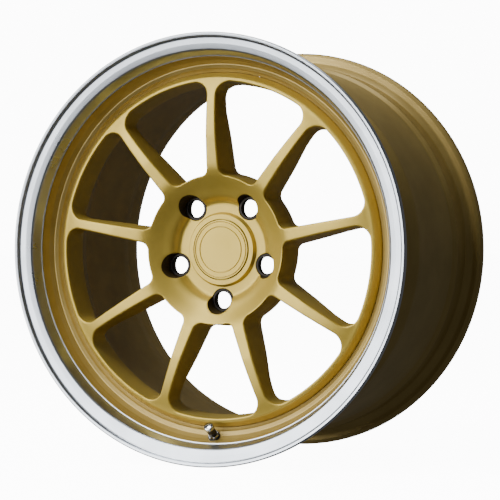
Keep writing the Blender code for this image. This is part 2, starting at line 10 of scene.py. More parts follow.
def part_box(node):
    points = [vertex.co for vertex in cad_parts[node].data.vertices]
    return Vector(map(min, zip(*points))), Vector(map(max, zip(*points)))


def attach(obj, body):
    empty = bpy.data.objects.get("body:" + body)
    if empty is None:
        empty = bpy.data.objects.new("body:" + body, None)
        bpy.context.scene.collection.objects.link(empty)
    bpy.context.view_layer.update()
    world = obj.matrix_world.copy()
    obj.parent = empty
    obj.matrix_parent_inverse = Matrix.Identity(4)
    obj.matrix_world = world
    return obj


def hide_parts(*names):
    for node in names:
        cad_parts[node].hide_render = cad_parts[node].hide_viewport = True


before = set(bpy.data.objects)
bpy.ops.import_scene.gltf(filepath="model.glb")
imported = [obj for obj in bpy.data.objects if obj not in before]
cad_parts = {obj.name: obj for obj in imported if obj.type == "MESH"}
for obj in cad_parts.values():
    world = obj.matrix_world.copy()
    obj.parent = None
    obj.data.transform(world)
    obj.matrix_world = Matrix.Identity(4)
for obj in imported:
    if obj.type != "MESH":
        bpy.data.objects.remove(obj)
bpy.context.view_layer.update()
mm = 0.001


# colours and node helpers

def fromHex(code, alpha=1.0):
    # sRGB hex to the linear values that shaders use
    parts = [int(code[i:i + 2], 16) / 255 for i in (1, 3, 5)]
    linear = [p / 12.92 if p <= 0.04045 else ((p + 0.055) / 1.055) ** 2.4 for p in parts]
    return (*linear, alpha)


def addNode(tree, kind, settings=None, **inputs):
    # one node with its settings and its inputs, each a value or a socket to link from
    node = tree.nodes.new(kind)
    for key, value in (settings or {}).items():
        setattr(node, key, value)
    for key, value in inputs.items():
        name = key.replace("_", " ")
        socket = node.inputs[int(key[1:])] if key[0] == "i" and key[1:].isdigit() else node.inputs[name]
        if isinstance(value, bpy.types.NodeSocket):
            tree.links.new(value, socket)
        else:
            socket.default_value = value
    return node


def newMaterial(name):
    material = bpy.data.materials.new(name)
    material.use_nodes = True
    material.node_tree.nodes.clear()
    return material, material.node_tree


def finishMaterial(tree, shader, bump=None):
    if bump:
        tree.links.new(bump.outputs["Normal"], shader.inputs["Normal"])
    addNode(tree, "ShaderNodeOutputMaterial", Surface=shader.outputs["BSDF"])


# finishes

def forgedGoldPaint(name="satinGoldPaint", base="#C6AB4C", dark="#BAA041", metallic=0.56):
    # satin metallic wheel paint, sprayed and baked: a soft wide sheen, fine flake, faint orange peel
    material, tree = newMaterial(name)
    coords = addNode(tree, "ShaderNodeTexCoord")
    cloud = addNode(tree, "ShaderNodeTexNoise", Vector=coords.outputs["Object"], Scale=22, Detail=3)
    flake = addNode(tree, "ShaderNodeTexNoise", Vector=coords.outputs["Object"], Scale=2200, Detail=1)
    peel = addNode(tree, "ShaderNodeTexNoise", Vector=coords.outputs["Object"], Scale=520, Detail=2)
    # 0.45 mm flake is drawn coarser than the real 0.05 mm so that it can show
    tone = addNode(tree, "ShaderNodeMapRange", Value=cloud.outputs["Fac"], From_Min=0.3, From_Max=0.7)
    colour = addNode(tree, "ShaderNodeMix", {"data_type": "RGBA"}, i0=tone.outputs["Result"],
                     i6=fromHex(base), i7=fromHex(dark))
    sparkle = addNode(tree, "ShaderNodeMapRange", Value=flake.outputs["Fac"], From_Min=0.35, From_Max=0.75,
                      To_Min=0.41, To_Max=0.52)
    shader = addNode(tree, "ShaderNodeBsdfPrincipled", Base_Color=colour.outputs[2], Metallic=metallic,
                     Roughness=sparkle.outputs["Result"], Coat_Weight=0.12, Coat_Roughness=0.35)
    bump = addNode(tree, "ShaderNodeBump", Height=peel.outputs["Fac"], Strength=0.05, Distance=0.00012)
    finishMaterial(tree, shader, bump)
    return material


def polishedAluminium():
    # forged aluminium, turned then polished and clear coated: near mirror with fine lathe lines
    material, tree = newMaterial("polishedAluminium")
    coords = addNode(tree, "ShaderNodeTexCoord")
    parts = addNode(tree, "ShaderNodeSeparateXYZ", Vector=coords.outputs["Object"])
    square = addNode(tree, "ShaderNodeVectorMath", {"operation": "MULTIPLY"},
                     i0=coords.outputs["Object"], i1=(1, 0, 1))
    radius = addNode(tree, "ShaderNodeVectorMath", {"operation": "LENGTH"}, i0=square.outputs["Vector"])
    sweep = addNode(tree, "ShaderNodeCombineXYZ", X=radius.outputs["Value"], Y=parts.outputs["Y"])
    # turning feed about 0.25 mm a turn, drawn at 0.5 mm so that it can show
    lines = addNode(tree, "ShaderNodeTexNoise", Vector=sweep.outputs["Vector"], Scale=2000, Detail=1)
    smear = addNode(tree, "ShaderNodeTexNoise", Vector=coords.outputs["Object"], Scale=30, Detail=3)
    rough = addNode(tree, "ShaderNodeMapRange", Value=smear.outputs["Fac"], From_Min=0.3, From_Max=0.7,
                    To_Min=0.27, To_Max=0.36)
    shader = addNode(tree, "ShaderNodeBsdfPrincipled", Base_Color=fromHex("#BFC5CC"), Metallic=1.0,
                     Roughness=rough.outputs["Result"], Coat_Weight=0.2, Coat_Roughness=0.05)
    bump = addNode(tree, "ShaderNodeBump", Height=lines.outputs["Fac"], Strength=0.08, Distance=0.00004)
    finishMaterial(tree, shader, bump)
    return material


def speckled(name, base, dark, metallic, roughness, grain, strength, coat=0.0):
    # small hardware: base colour broken by a fine grain, with grain in the gloss and the bump
    material, tree = newMaterial(name)
    coords = addNode(tree, "ShaderNodeTexCoord")
    noise = addNode(tree, "ShaderNodeTexNoise", Vector=coords.outputs["Object"], Scale=1 / (grain * mm),
                    Detail=3)
    mix = addNode(tree, "ShaderNodeMapRange", Value=noise.outputs["Fac"], From_Min=0.35, From_Max=0.65)
    colour = addNode(tree, "ShaderNodeMix", {"data_type": "RGBA"}, i0=mix.outputs["Result"],
                     i6=fromHex(base), i7=fromHex(dark))
    rough = addNode(tree, "ShaderNodeMapRange", Value=noise.outputs["Fac"], From_Min=0.3, From_Max=0.7,
                    To_Min=roughness - 0.04, To_Max=roughness + 0.06)
    shader = addNode(tree, "ShaderNodeBsdfPrincipled", Base_Color=colour.outputs[2], Metallic=metallic,
                     Roughness=rough.outputs["Result"], Coat_Weight=coat)
    bump = addNode(tree, "ShaderNodeBump", Height=noise.outputs["Fac"], Strength=strength, Distance=0.0001)
    finishMaterial(tree, shader, bump)
    return material


print("mixing the finishes")
finishes = {
    # sprayed on the forged centre
    "gold": forgedGoldPaint(),
    # the same paint as a greyer, less metallic copy on the barrel, toning down the orange of light bounced
    # between the gold faces: a painted correction of reflected light
    "barrelGold": forgedGoldPaint("barrelGoldPaint", "#B29A56", "#A58D4A", 0.44),
    # turned and polished outer rim
    "lip": polishedAluminium(),
    # bolt seat washers: dark steel, darkened further as painted shade for the floor of the bolt pockets
    "steel": speckled("darkSeatSteelAndPocketShade", "#2F2C29", "#211E1B", 1.0, 0.40, 0.5, 0.15),
    # bolt pocket walls: a dark brown that paints in the shade deep in the pockets, painted shade
    "pocket": speckled("pocketWallPaintedShade", "#5A4A26", "#46391A", 0.5, 0.5, 0.8, 0.2),
    # valve stem in dark nickel, and the cap's grip, where the same dark finish is painted shade beside the
    # bright chrome head
    "stemNickelAndGripShade": speckled("darkStemNickelAndGripShade", "#5A554C", "#3F3B33", 1.0, 0.34, 0.4, 0.12),
    # weld beads under thin paint
    "weld": speckled("paintedWeld", "#8E7440", "#6F5A2E", 0.6, 0.45, 1.2, 0.3),
    # valve nut and cap head
    "chrome": speckled("brightChromePlate", "#D9DBDD", "#C6C9CC", 1.0, 0.10, 1.5, 0.03),
    # valve core and pin
    "brass": speckled("turnedValveBrass", "#A98A52", "#8C6E3C", 1.0, 0.28, 0.4, 0.12),
    # valve washers and gasket
    "rubber": speckled("mouldedBlackRubber", "#1B1B1C", "#121213", 0.0, 0.62, 0.4, 0.2),
    # spigot ring and cap carrier
    "nylon": speckled("mouldedBlackNylon", "#232324", "#1A1A1B", 0.0, 0.48, 0.6, 0.2),
    # spring wire
    "spring": speckled("drawnSpringWire", "#8F9092", "#77787A", 1.0, 0.25, 0.3, 0.1),
    # valve core seal
    "ptfe": speckled("whitePtfe", "#E4E2DA", "#D8D5CB", 0.0, 0.45, 0.5, 0.08),
}


# turning: one Geometry Nodes tree spins any profile about the wheel's or the valve's axis

def latheTree():
    tree = bpy.data.node_groups.new("turnOnLathe", "GeometryNodeTree")
    face = tree.interface
    face.new_socket("Geometry", in_out="INPUT", socket_type="NodeSocketGeometry")
    for name, value in (("Profile Points", 8), ("Segments", 64)):
        face.new_socket(name, in_out="INPUT", socket_type="NodeSocketInt").default_value = value
    for name, value in (("Facets", 6.0), ("Across Flats", 9.0), ("Ripples", 0.0), ("Ripple Height", 0.0),
                        ("Ripple From", 0.0)):
        face.new_socket(name, in_out="INPUT", socket_type="NodeSocketFloat").default_value = value
    face.new_socket("Finish", in_out="INPUT", socket_type="NodeSocketMaterial")
    face.new_socket("Geometry", in_out="OUTPUT", socket_type="NodeSocketGeometry")
    given = addNode(tree, "NodeGroupInput")

    def calc(operation, first, second=0.0):
        return addNode(tree, "ShaderNodeMath", {"operation": operation}, i0=first, i1=second).outputs[0]

    columns = calc("ADD", given.outputs["Segments"], 1.0)
    sheet = addNode(tree, "GeometryNodeMeshGrid", Vertices_X=given.outputs["Profile Points"],
                    Vertices_Y=columns)
    index = addNode(tree, "GeometryNodeInputIndex").outputs[0]
    row = calc("FLOOR", calc("DIVIDE", index, columns))
    turns = calc("DIVIDE", calc("MODULO", index, columns), given.outputs["Segments"])
    angle = calc("MULTIPLY", turns, 2 * math.pi)
    place = addNode(tree, "GeometryNodeInputPosition")
    sample = addNode(tree, "GeometryNodeSampleIndex", {"data_type": "FLOAT_VECTOR"},
                     Geometry=given.outputs["Geometry"], Value=place.outputs[0], Index=row)
    point = addNode(tree, "ShaderNodeSeparateXYZ", Vector=sample.outputs[0])
    # flats cut the radius down to a polygon, ripples swell it between evenly spaced valleys
    facet = calc("DIVIDE", 2 * math.pi, given.outputs["Facets"])
    offCentre = calc("SUBTRACT", calc("MODULO", angle, facet), calc("MULTIPLY", facet, 0.5))
    flat = calc("DIVIDE", calc("MULTIPLY", given.outputs["Across Flats"], 0.5), calc("COSINE", offCentre))
    clipped = calc("MINIMUM", point.outputs["X"], flat)
    phase = calc("MULTIPLY", calc("MULTIPLY", angle, given.outputs["Ripples"]), 0.5)
    wave = calc("ABSOLUTE", calc("SINE", phase))
    swell = calc("MULTIPLY", calc("MULTIPLY", wave, given.outputs["Ripple Height"]),
                 calc("GREATER_THAN", clipped, given.outputs["Ripple From"]))
    spoke = addNode(tree, "ShaderNodeCombineXYZ", X=calc("ADD", clipped, swell), Z=point.outputs["Z"])
    spun = addNode(tree, "ShaderNodeVectorRotate", {"rotation_type": "Z_AXIS"}, Vector=spoke.outputs[0],
                   Angle=angle)
    moved = addNode(tree, "GeometryNodeSetPosition", Geometry=sheet.outputs["Mesh"], Position=spun.outputs[0])
    joined = addNode(tree, "GeometryNodeMergeByDistance", Geometry=moved.outputs[0], Distance=0.000002)
    real = addNode(tree, "GeometryNodeRealizeInstances", Geometry=joined.outputs[0])
    painted = addNode(tree, "GeometryNodeSetMaterial", Geometry=real.outputs[0],
                      Material=given.outputs["Finish"])
    addNode(tree, "NodeGroupOutput", Geometry=painted.outputs[0])
    return tree


def copiesTree():
    # copies of one piece spaced evenly about the bench's +Z axis
    tree = bpy.data.node_groups.new("copiesRoundAxis", "GeometryNodeTree")
    face = tree.interface
    face.new_socket("Geometry", in_out="INPUT", socket_type="NodeSocketGeometry")
    face.new_socket("Count", in_out="INPUT", socket_type="NodeSocketInt").default_value = 5
    for name in ("Circle Radius", "First Angle"):
        face.new_socket(name, in_out="INPUT", socket_type="NodeSocketFloat").default_value = 0.0
    face.new_socket("Finish", in_out="INPUT", socket_type="NodeSocketMaterial")
    face.new_socket("Geometry", in_out="OUTPUT", socket_type="NodeSocketGeometry")
    given = addNode(tree, "NodeGroupInput")
    line = addNode(tree, "GeometryNodeMeshLine", Count=given.outputs["Count"], Offset=(0, 0, 0))
    index = addNode(tree, "GeometryNodeInputIndex")
    share = addNode(tree, "ShaderNodeMath", {"operation": "DIVIDE"}, i0=index.outputs[0],
                    i1=given.outputs["Count"])
    angle = addNode(tree, "ShaderNodeMath", {"operation": "MULTIPLY_ADD"}, i0=share.outputs[0],
                    i1=2 * math.pi, i2=given.outputs["First Angle"])
    out = addNode(tree, "ShaderNodeCombineXYZ", X=given.outputs["Circle Radius"])
    place = addNode(tree, "ShaderNodeVectorRotate", {"rotation_type": "Z_AXIS"}, Vector=out.outputs[0],
                    Angle=angle.outputs[0])
    moved = addNode(tree, "GeometryNodeSetPosition", Geometry=line.outputs[0], Position=place.outputs[0])
    facing = addNode(tree, "ShaderNodeCombineXYZ", Z=angle.outputs[0])
    copies = addNode(tree, "GeometryNodeInstanceOnPoints", Points=moved.outputs[0],
                     Instance=given.outputs["Geometry"], Rotation=facing.outputs[0])
    real = addNode(tree, "GeometryNodeRealizeInstances", Geometry=copies.outputs[0])
    painted = addNode(tree, "GeometryNodeSetMaterial", Geometry=real.outputs[0],
                      Material=given.outputs["Finish"])
    addNode(tree, "NodeGroupOutput", Geometry=painted.outputs[0])
    return tree


lathe = latheTree()
copies = copiesTree()
wheelTurn = Matrix.Rotation(math.pi / 2, 4, "X")          # bench +Z points out of the outboard face


def setInput(modifier, name, value):
    for item in modifier.node_group.interface.items_tree:
        if item.item_type == "SOCKET" and item.in_out == "INPUT" and item.name == name:
            modifier[item.identifier] = value


def settle(piece, name, matrix=None, sharpAngle=32):
    # evaluated modifiers into a plain closed mesh, in place, with outward faces
    depsgraph = bpy.context.evaluated_depsgraph_get()
    mesh = bpy.data.meshes.new_from_object(piece.evaluated_get(depsgraph))
    bpy.data.objects.remove(piece)
    bm = bmesh.new()
    bm.from_mesh(mesh)
    bmesh.ops.remove_doubles(bm, verts=bm.verts, dist=0.000002)
    bmesh.ops.dissolve_degenerate(bm, edges=bm.edges, dist=0.000001)
    bmesh.ops.recalc_face_normals(bm, faces=bm.faces)
    bm.to_mesh(mesh)
    bm.free()
    if matrix:
        mesh.transform(matrix)
    mesh.shade_smooth()
    mesh.set_sharp_from_angle(angle=math.radians(sharpAngle))
    mesh.name = name
    done = bpy.data.objects.new(name, mesh)
    bpy.context.scene.collection.objects.link(done)
    return done


def turn(name, profile, finish, segments=288, matrix=wheelTurn, sharpAngle=32, flats=None, ripple=None):
    # profile is a list of (radius, height), closed unless it starts on the axis; flats is
    # (count, width across) and ripple is (count, height, least radius)
    closed = profile if profile[0][0] < 1e-7 else profile + profile[:1]
    mesh = bpy.data.meshes.new(name + "Profile")
    mesh.from_pydata([(r, 0, h) for r, h in closed], [], [])
    piece = bpy.data.objects.new(name + "Profile", mesh)
    bpy.context.scene.collection.objects.link(piece)
    modifier = piece.modifiers.new("lathe", "NODES")
    modifier.node_group = lathe
    setInput(modifier, "Profile Points", len(closed))
    setInput(modifier, "Segments", segments)
    setInput(modifier, "Finish", finish)
    if flats:
        setInput(modifier, "Facets", float(flats[0]))
        setInput(modifier, "Across Flats", flats[1])
    if ripple:
        setInput(modifier, "Ripples", float(ripple[0]))
        setInput(modifier, "Ripple Height", ripple[1])
        setInput(modifier, "Ripple From", ripple[2])
    return settle(piece, name, matrix, sharpAngle)


def spaced(piece, name, finish, count, circleRadius, firstAngle, matrix=wheelTurn):
    # the piece is drawn about the bench axis and comes back as evenly spaced copies
    modifier = piece.modifiers.new("copies", "NODES")
    modifier.node_group = copies
    setInput(modifier, "Count", count)
    setInput(modifier, "Circle Radius", circleRadius)
    setInput(modifier, "First Angle", firstAngle)
    setInput(modifier, "Finish", finish)
    return settle(piece, name, matrix)


def fit(piece, body, slotName, *nodes):
    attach(piece, body)
    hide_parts(*nodes)


def rounded(points, radii, steps=5):
    # polyline with each corner replaced by an arc of its own radius; 0 keeps it sharp
    out = []
    count = len(points)
    for i, (point, radius) in enumerate(zip(points, radii)):
        here = Vector(point)
        before, after = Vector(points[i - 1]), Vector(points[(i + 1) % count])
        a, b = (before - here), (after - here)
        if radius == 0 or a.length < 1e-9 or b.length < 1e-9:
            out.append(tuple(here))
            continue
        half = a.angle(b) / 2
        if half > math.radians(88.5):
            out.append(tuple(here))
            continue
        reach = min(radius / math.tan(half), 0.48 * a.length, 0.48 * b.length)
        start, end = here + a.normalized() * reach, here + b.normalized() * reach
        for k in range(steps + 1):
            t = k / steps
            out.append(tuple(start * (1 - t) ** 2 + here * 2 * t * (1 - t) + end * t ** 2))
    return out


def depths(points):
    # (radius, depth behind the outboard flange plane) in mm to (radius, bench height) in m
    return [(r * mm, halfWidth - d * mm) for r, d in points]


lipLow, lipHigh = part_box("outer_lip")
halfWidth = -lipLow.y
flangeRadius = lipHigh.x


# rim halves, in mm

rimSizes = {"segments": 360, "flangeHeight": 17.3, "flatDepth": 11.7}
valveSizes = {
    "seatRadius": 205.3, "seatDepth": 34.8, "tilt": 40.0, "wall": 10.6, "spot": 7.5, "rearSpot": 6.5,
    "stem": 4.1, "thread": 3.8, "threadPitch": 0.8, "threadDepth": 0.28, "foot": 5.8, "nutFlats": 10.6,
    "capFlats": 10.3, "knurls": 24, "knurlHeight": 0.25, "drillSegments": 64, "segments": 144,
}
valveTurn = (Matrix.Translation((0, valveSizes["seatDepth"] * mm - halfWidth, -valveSizes["seatRadius"] * mm))
             @ Matrix.Rotation(math.radians(90 - valveSizes["tilt"]), 4, "X"))


def makeLip(size=rimSizes):
    # outer rim half: stepped front, flange, bead seat and the sleeve that is welded to the barrel
    flange, flat = flangeRadius / mm, size["flatDepth"]
    bead = flange - size["flangeHeight"]
    points = [
        (bead - 7.3, 21.4), (bead - 7.3, 20.6), (bead - 6.3, 20.3), (bead - 2.3, 8.6), (bead - 0.7, 7.0),
        (bead + 5.2, 5.6), (flange - 6.2, 4.7), (flange - 4.8, 3.9), (flange - 4.2, 0.6), (flange - 1.2, 0.0),
        (flange, 1.4), (flange, 5.5), (flange - 1.4, 9.6), (flange - 4.6, flat), (bead + 6.5, flat),
        (bead, 18.2), (bead - 1.0, 33.0), (bead - 4.2, 33.0), (bead - 4.2, 21.4),
    ]
    radii = [0.1, 0.1, 0.2, 3.0, 1.8, 4.0, 1.2, 1.2, 1.0, 0.9, 0.9, 3.0, 2.5, 2.0, 5.0, 6.0, 0.4, 0.2, 0.2]
    profile = rounded(points, radii)
    lip = turn("polishedLip", depths(profile), finishes["lip"], size["segments"])
    fit(lip, "wheel", "polished_lip", "outer_lip")


def makeBarrel(size=rimSizes):
    # inner rim half, turned and then drilled for the valve
    flange, flat = flangeRadius / mm, size["flatDepth"]
    bead = flange - size["flangeHeight"]
    wide = 2 * halfWidth / mm
    bore, well = bead - 23.0, bead - 17.8
    body = bead - 7.3
    points = [
        (bead - 4.5, 21.7), (bead - 4.5, 36.0), (bead - 1.0, 36.0), (bead + 0.7, 37.2), (bead - 0.3, 38.6),
        (well, 53.2), (well, 88.0), (body, 112.0), (body + 3.5, wide - 52.7), (bead + 0.7, wide - 45.7),
        (bead - 1.0, wide - 42.0), (bead, wide - 18.2), (bead + 6.5, wide - flat), (flange - 4.6, wide - flat),
        (flange - 1.4, wide - 9.6), (flange, wide - 5.5), (flange, wide - 1.4), (flange - 1.2, wide),
        (bead + 3.7, wide), (bead + 0.7, wide - 2.7), (bead - 5.8, wide - 19.7), (bead - 6.3, wide - 38.7),
        (body - 1.0, wide - 52.7), (body - 4.5, 112.0), (bore, 84.0), (bore, 41.6), (bore + 1.5, 40.8),
        (bore + 2.9, 39.8), (bore + 4.3, 37.9), (bore + 5.6, 37.3), (bore + 7.7, 36.2), (bore + 8.9, 36.1),
        (bore + 10.2, 34.3), (bore + 12.5, 31.0), (bead - 8.7, 26.0), (bead - 7.6, 21.7),
    ]
    radii = [0.2, 0.3, 0.3, 1.2, 1.5, 6, 10, 14, 8, 2, 2, 6, 5, 2, 2.5, 3, 0.9, 0.8, 1.5, 3, 12, 12, 14, 16,
             10, 0.3, 0.5, 1.0, 0.5, 0.8, 0.8, 0.6, 2.5, 5, 4, 0.3]
    # the barrel takes the greyer gold copy that tones down bounced light
    barrel = turn("barrelBlank", depths(rounded(points, radii)), finishes["barrelGold"], size["segments"])
    v = valveSizes
    spot, hole, rear = v["spot"], v["stem"] + 0.3, v["rearSpot"]
    drill = turn("valveDrill", [(r * mm, h * mm) for r, h in (
        (0, 14), (spot + 0.4, 14), (spot + 0.4, 0.9), (spot, 0.5), (spot, 0), (hole + 0.4, 0), (hole, -0.4),
        (hole, -v["wall"]), (rear, -v["wall"]), (rear, -v["wall"] - 8), (0, -v["wall"] - 8))],
        finishes["barrelGold"], v["drillSegments"], valveTurn)
    bite = barrel.modifiers.new("valveHole", "BOOLEAN")
    bite.operation = "DIFFERENCE"
    bite.solver = "EXACT"
    bite.object = drill
    drilled = settle(barrel, "goldBarrel")
    bpy.data.objects.remove(drill)
    return drilled


print("turning the rim halves")
makeLip()
fit(makeBarrel(), "wheel", "gold_paint", "inner_barrel")


weldSizes = {"ripples": 420, "rippleHeight": 0.16, "beadSteps": 6, "filletSteps": 4, "filletShare": 0.5,
             "filletDip": -1.6, "ringDrop": 23.3}


def makeWelds(size=weldSizes):
    # stacked-coin bead round the outside, plainer fillet behind the centre
    bead, count = flangeRadius / mm - rimSizes["flangeHeight"], size["ripples"]
    height = size["rippleHeight"] * mm
    lipBead = [(bead - 4.2, 33.3), (bead - 1.0, 33.3), (bead - 0.72, 33.7), (bead - 0.55, 34.5),
               (bead - 0.72, 35.3), (bead - 1.0, 35.7), (bead - 4.2, 35.7)]
    piece = turn("lipWeldBead", depths(lipBead), finishes["weld"], count * size["beadSteps"],
                 ripple=(count, height, (bead - 0.9) * mm))
    fit(piece, "wheel", "weld_bead", "lip_weld")
    ring = bead - size["ringDrop"]
    fillet = [(ring - 5.0, 65.3), (ring, 65.3), (ring, 70.3), (ring - 0.9, 69.2), (ring - 2.1, 67.7),
              (ring - 3.6, 66.3)]
    piece = turn("centreWeldFillet", depths(fillet), finishes["weld"], count * size["filletSteps"],
                 ripple=(count * size["filletShare"], size["filletDip"] * height, (ring - 4.4) * mm))
    fit(piece, "wheel", "weld_bead", "center_weld")


makeWelds()


# forged centre: face and back are laid out in plan, then lifted to their depths; in mm

centreSizes = {
    "spokes": 9, "faceRadius": 194.9, "recess": 34.0, "bore": 36.7, "hubEdge": 82.3, "windowOuter": 185.2,
    "widthAtHub": 15.0, "widthAtRing": 10.6, "outerFillet": 15.0, "innerFillet": 9.0, "draft": 0.07,
    "draftFrom": 32.3, "softEdge": 2.0, "softBack": 1.2, "grid": 2.6, "wallSpacing": 2.2, "lugs": 5,
    "lugCircle": 56.0, "pocket": 13.0, "pocketDraft": 0.15, "pocketFloor": 57.6, "pocketChamfer": 0.35,
    "relief": 14.8, "roundPoints": 72,
}


def faceDepth(r, size=centreSizes):
    # depth of the turned front, from the cap's recess to the ring's outer wall
    s = (r - size["hubEdge"]) / (size["windowOuter"] - size["hubEdge"])
    crown = np.where(s < 0.42, 26.4 + 11.5 * (0.42 - s) + 6 * np.clip(0.25 - s, 0, 1) ** 2,
                     26.4 + 5.4 * (np.clip(s - 0.42, 0, 1) / 0.58) ** 3)
    knots = [34.0, 38.9, 39.4, 41.0, 41.5, 51.5, 53.4, 55.5, 58.0, 61.0, 66.5, 71.0, 77.0, 82.0, 88.0, 93.5]
    heights = [52.4, 52.4, 52.9, 56.4, 57.0, 57.0, 56.3, 53.6, 49.5, 47.0, 44.2, 41.3, 37.2, 34.0, 31.3,
               float(26.4 + 11.5 * (0.42 - 11.2 / 102.9) + 6 * (0.25 - 11.2 / 102.9) ** 2)]
    inner = np.interp(r, knots, heights)
    ring = np.interp(r, [185.2, 188.4, 189.3, 190.2, 192.4, 194.2, 194.9],
                     [31.8, 32.3, 32.6, 33.6, 36.6, 39.3, 41.0])
    return np.where(r < 93.5, inner, np.where(r > size["windowOuter"], ring, crown))


def backDepth(r):
    # depth of the back, from the bore over the pad and the spokes to the ring
    return np.interp(r, [36.7, 37.7, 75.4, 76.0, 78.0, 82.3, 95, 125, 152, 163, 177, 181, 183.2, 193.4, 194.9],
                     [75.0, 76.0, 76.0, 74.8, 74.2, 74.0, 70.8, 63.6, 54.6, 53.6, 54.0, 58.0, 65.0, 65.0, 63.5])


def arcPoints(centre, radius, start, end, count):
    angles = np.linspace(start, end, count)
    return np.stack([centre[0] + radius * np.cos(angles), centre[1] + radius * np.sin(angles)], 1)


def windowShape(inset, size=centreSizes, low=14, high=22, side=26, outerCount=26, innerCount=12):
    # outline of one window about +X, anticlockwise, with an equal number of points at any inset
    pitch = 2 * math.pi / size["spokes"]
    outer, inner = size["windowOuter"] - inset, size["hubEdge"] + inset
    near = np.array([size["hubEdge"], size["widthAtHub"] / 2 + inset])
    far = np.array([size["windowOuter"], size["widthAtRing"] / 2 + inset])
    along = (far - near) / np.linalg.norm(far - near)
    across = np.array([-along[1], along[0]])
    offset = across @ near

    def centreOf(distance, fillet):
        reach = offset + fillet
        return across * reach + along * math.sqrt(distance ** 2 - reach ** 2)

    lowCentre = centreOf(inner + size["innerFillet"], size["innerFillet"])
    highCentre = centreOf(outer - size["outerFillet"], size["outerFillet"])
    toSide = math.atan2(-across[1], -across[0])
    first = arcPoints(lowCentre, size["innerFillet"], math.atan2(-lowCentre[1], -lowCentre[0]), toSide, low)
    last = arcPoints(highCentre, size["outerFillet"], toSide, math.atan2(highCentre[1], highCentre[0]), high)
    run = first[-1] + (last[0] - first[-1]) * np.linspace(0, 1, side)[1:-1, None]
    half = np.concatenate([first, run, last])
    c, s = math.cos(-pitch / 2), math.sin(-pitch / 2)
    half = half @ np.array([[c, s], [-s, c]])
    outerAngle = math.atan2(half[-1][1], half[-1][0])
    innerAngle = math.atan2(half[0][1], half[0][0])
    outerArc = arcPoints((0, 0), outer, outerAngle, -outerAngle, outerCount)[1:-1]
    innerArc = arcPoints((0, 0), inner, -innerAngle, innerAngle, innerCount)[1:-1]
    return np.concatenate([half, outerArc, half[::-1] * [1, -1], innerArc])


def turned2d(points, angle):
    c, s = math.cos(angle), math.sin(angle)
    return points @ np.array([[c, s], [-s, c]])


def insideOutline(outline, points):
    x, y = points[:, 0], points[:, 1]
    hit = np.zeros(len(points), bool)
    for (x1, y1), (x2, y2) in zip(outline, np.roll(outline, -1, 0)):
        crosses = (y1 > y) != (y2 > y)
        hit ^= crosses & (x < (x2 - x1) * (y - y1) / (y2 - y1 + 1e-12) + x1)
    return hit


def circle2d(centre, radius, count):
    return arcPoints(centre, radius, 0, 2 * math.pi * (1 - 1 / count), count)


def roundCount(radius, size=centreSizes):
    # points on a circle about the axis, a multiple of 18 so that every spoke gets the same
    return int(2 * math.pi * radius / size["wallSpacing"]) // 18 * 18 + 18


def lugCentres(size=centreSizes):
    angles = [-math.pi / 2 + i * 2 * math.pi / size["lugs"] for i in range(size["lugs"])]
    return [np.array([size["lugCircle"] * math.cos(a), size["lugCircle"] * math.sin(a)]) for a in angles]


def planSheet(rings, holes, loose, depthAt, outer, innerRadius):
    # constrained triangulation of a plan region, lifted; returns points and triangles
    coords, edges, index = [], [], {}
    for loop in rings + holes:
        base = len(coords)
        coords += [tuple(p) for p in loop]
        edges += [(base + i, base + (i + 1) % len(loop)) for i in range(len(loop))]
    coords += [tuple(p) for p in loose]
    verts, _, faces, origin, _, _ = geometry.delaunay_2d_cdt([Vector(c) for c in coords], edges, [], 0, 1e-5)
    flat = np.array([tuple(v) for v in verts])
    tris = np.array([f for f in faces if len(f) == 3])
    middle = flat[tris].mean(1)
    radius = np.hypot(middle[:, 0], middle[:, 1])
    keep = (radius < outer) & (radius > innerRadius)
    for hole in holes:
        near = np.where(keep)[0]
        keep[near[insideOutline(hole, middle[near])]] = False
    return flat, tris[keep], depthAt(flat)


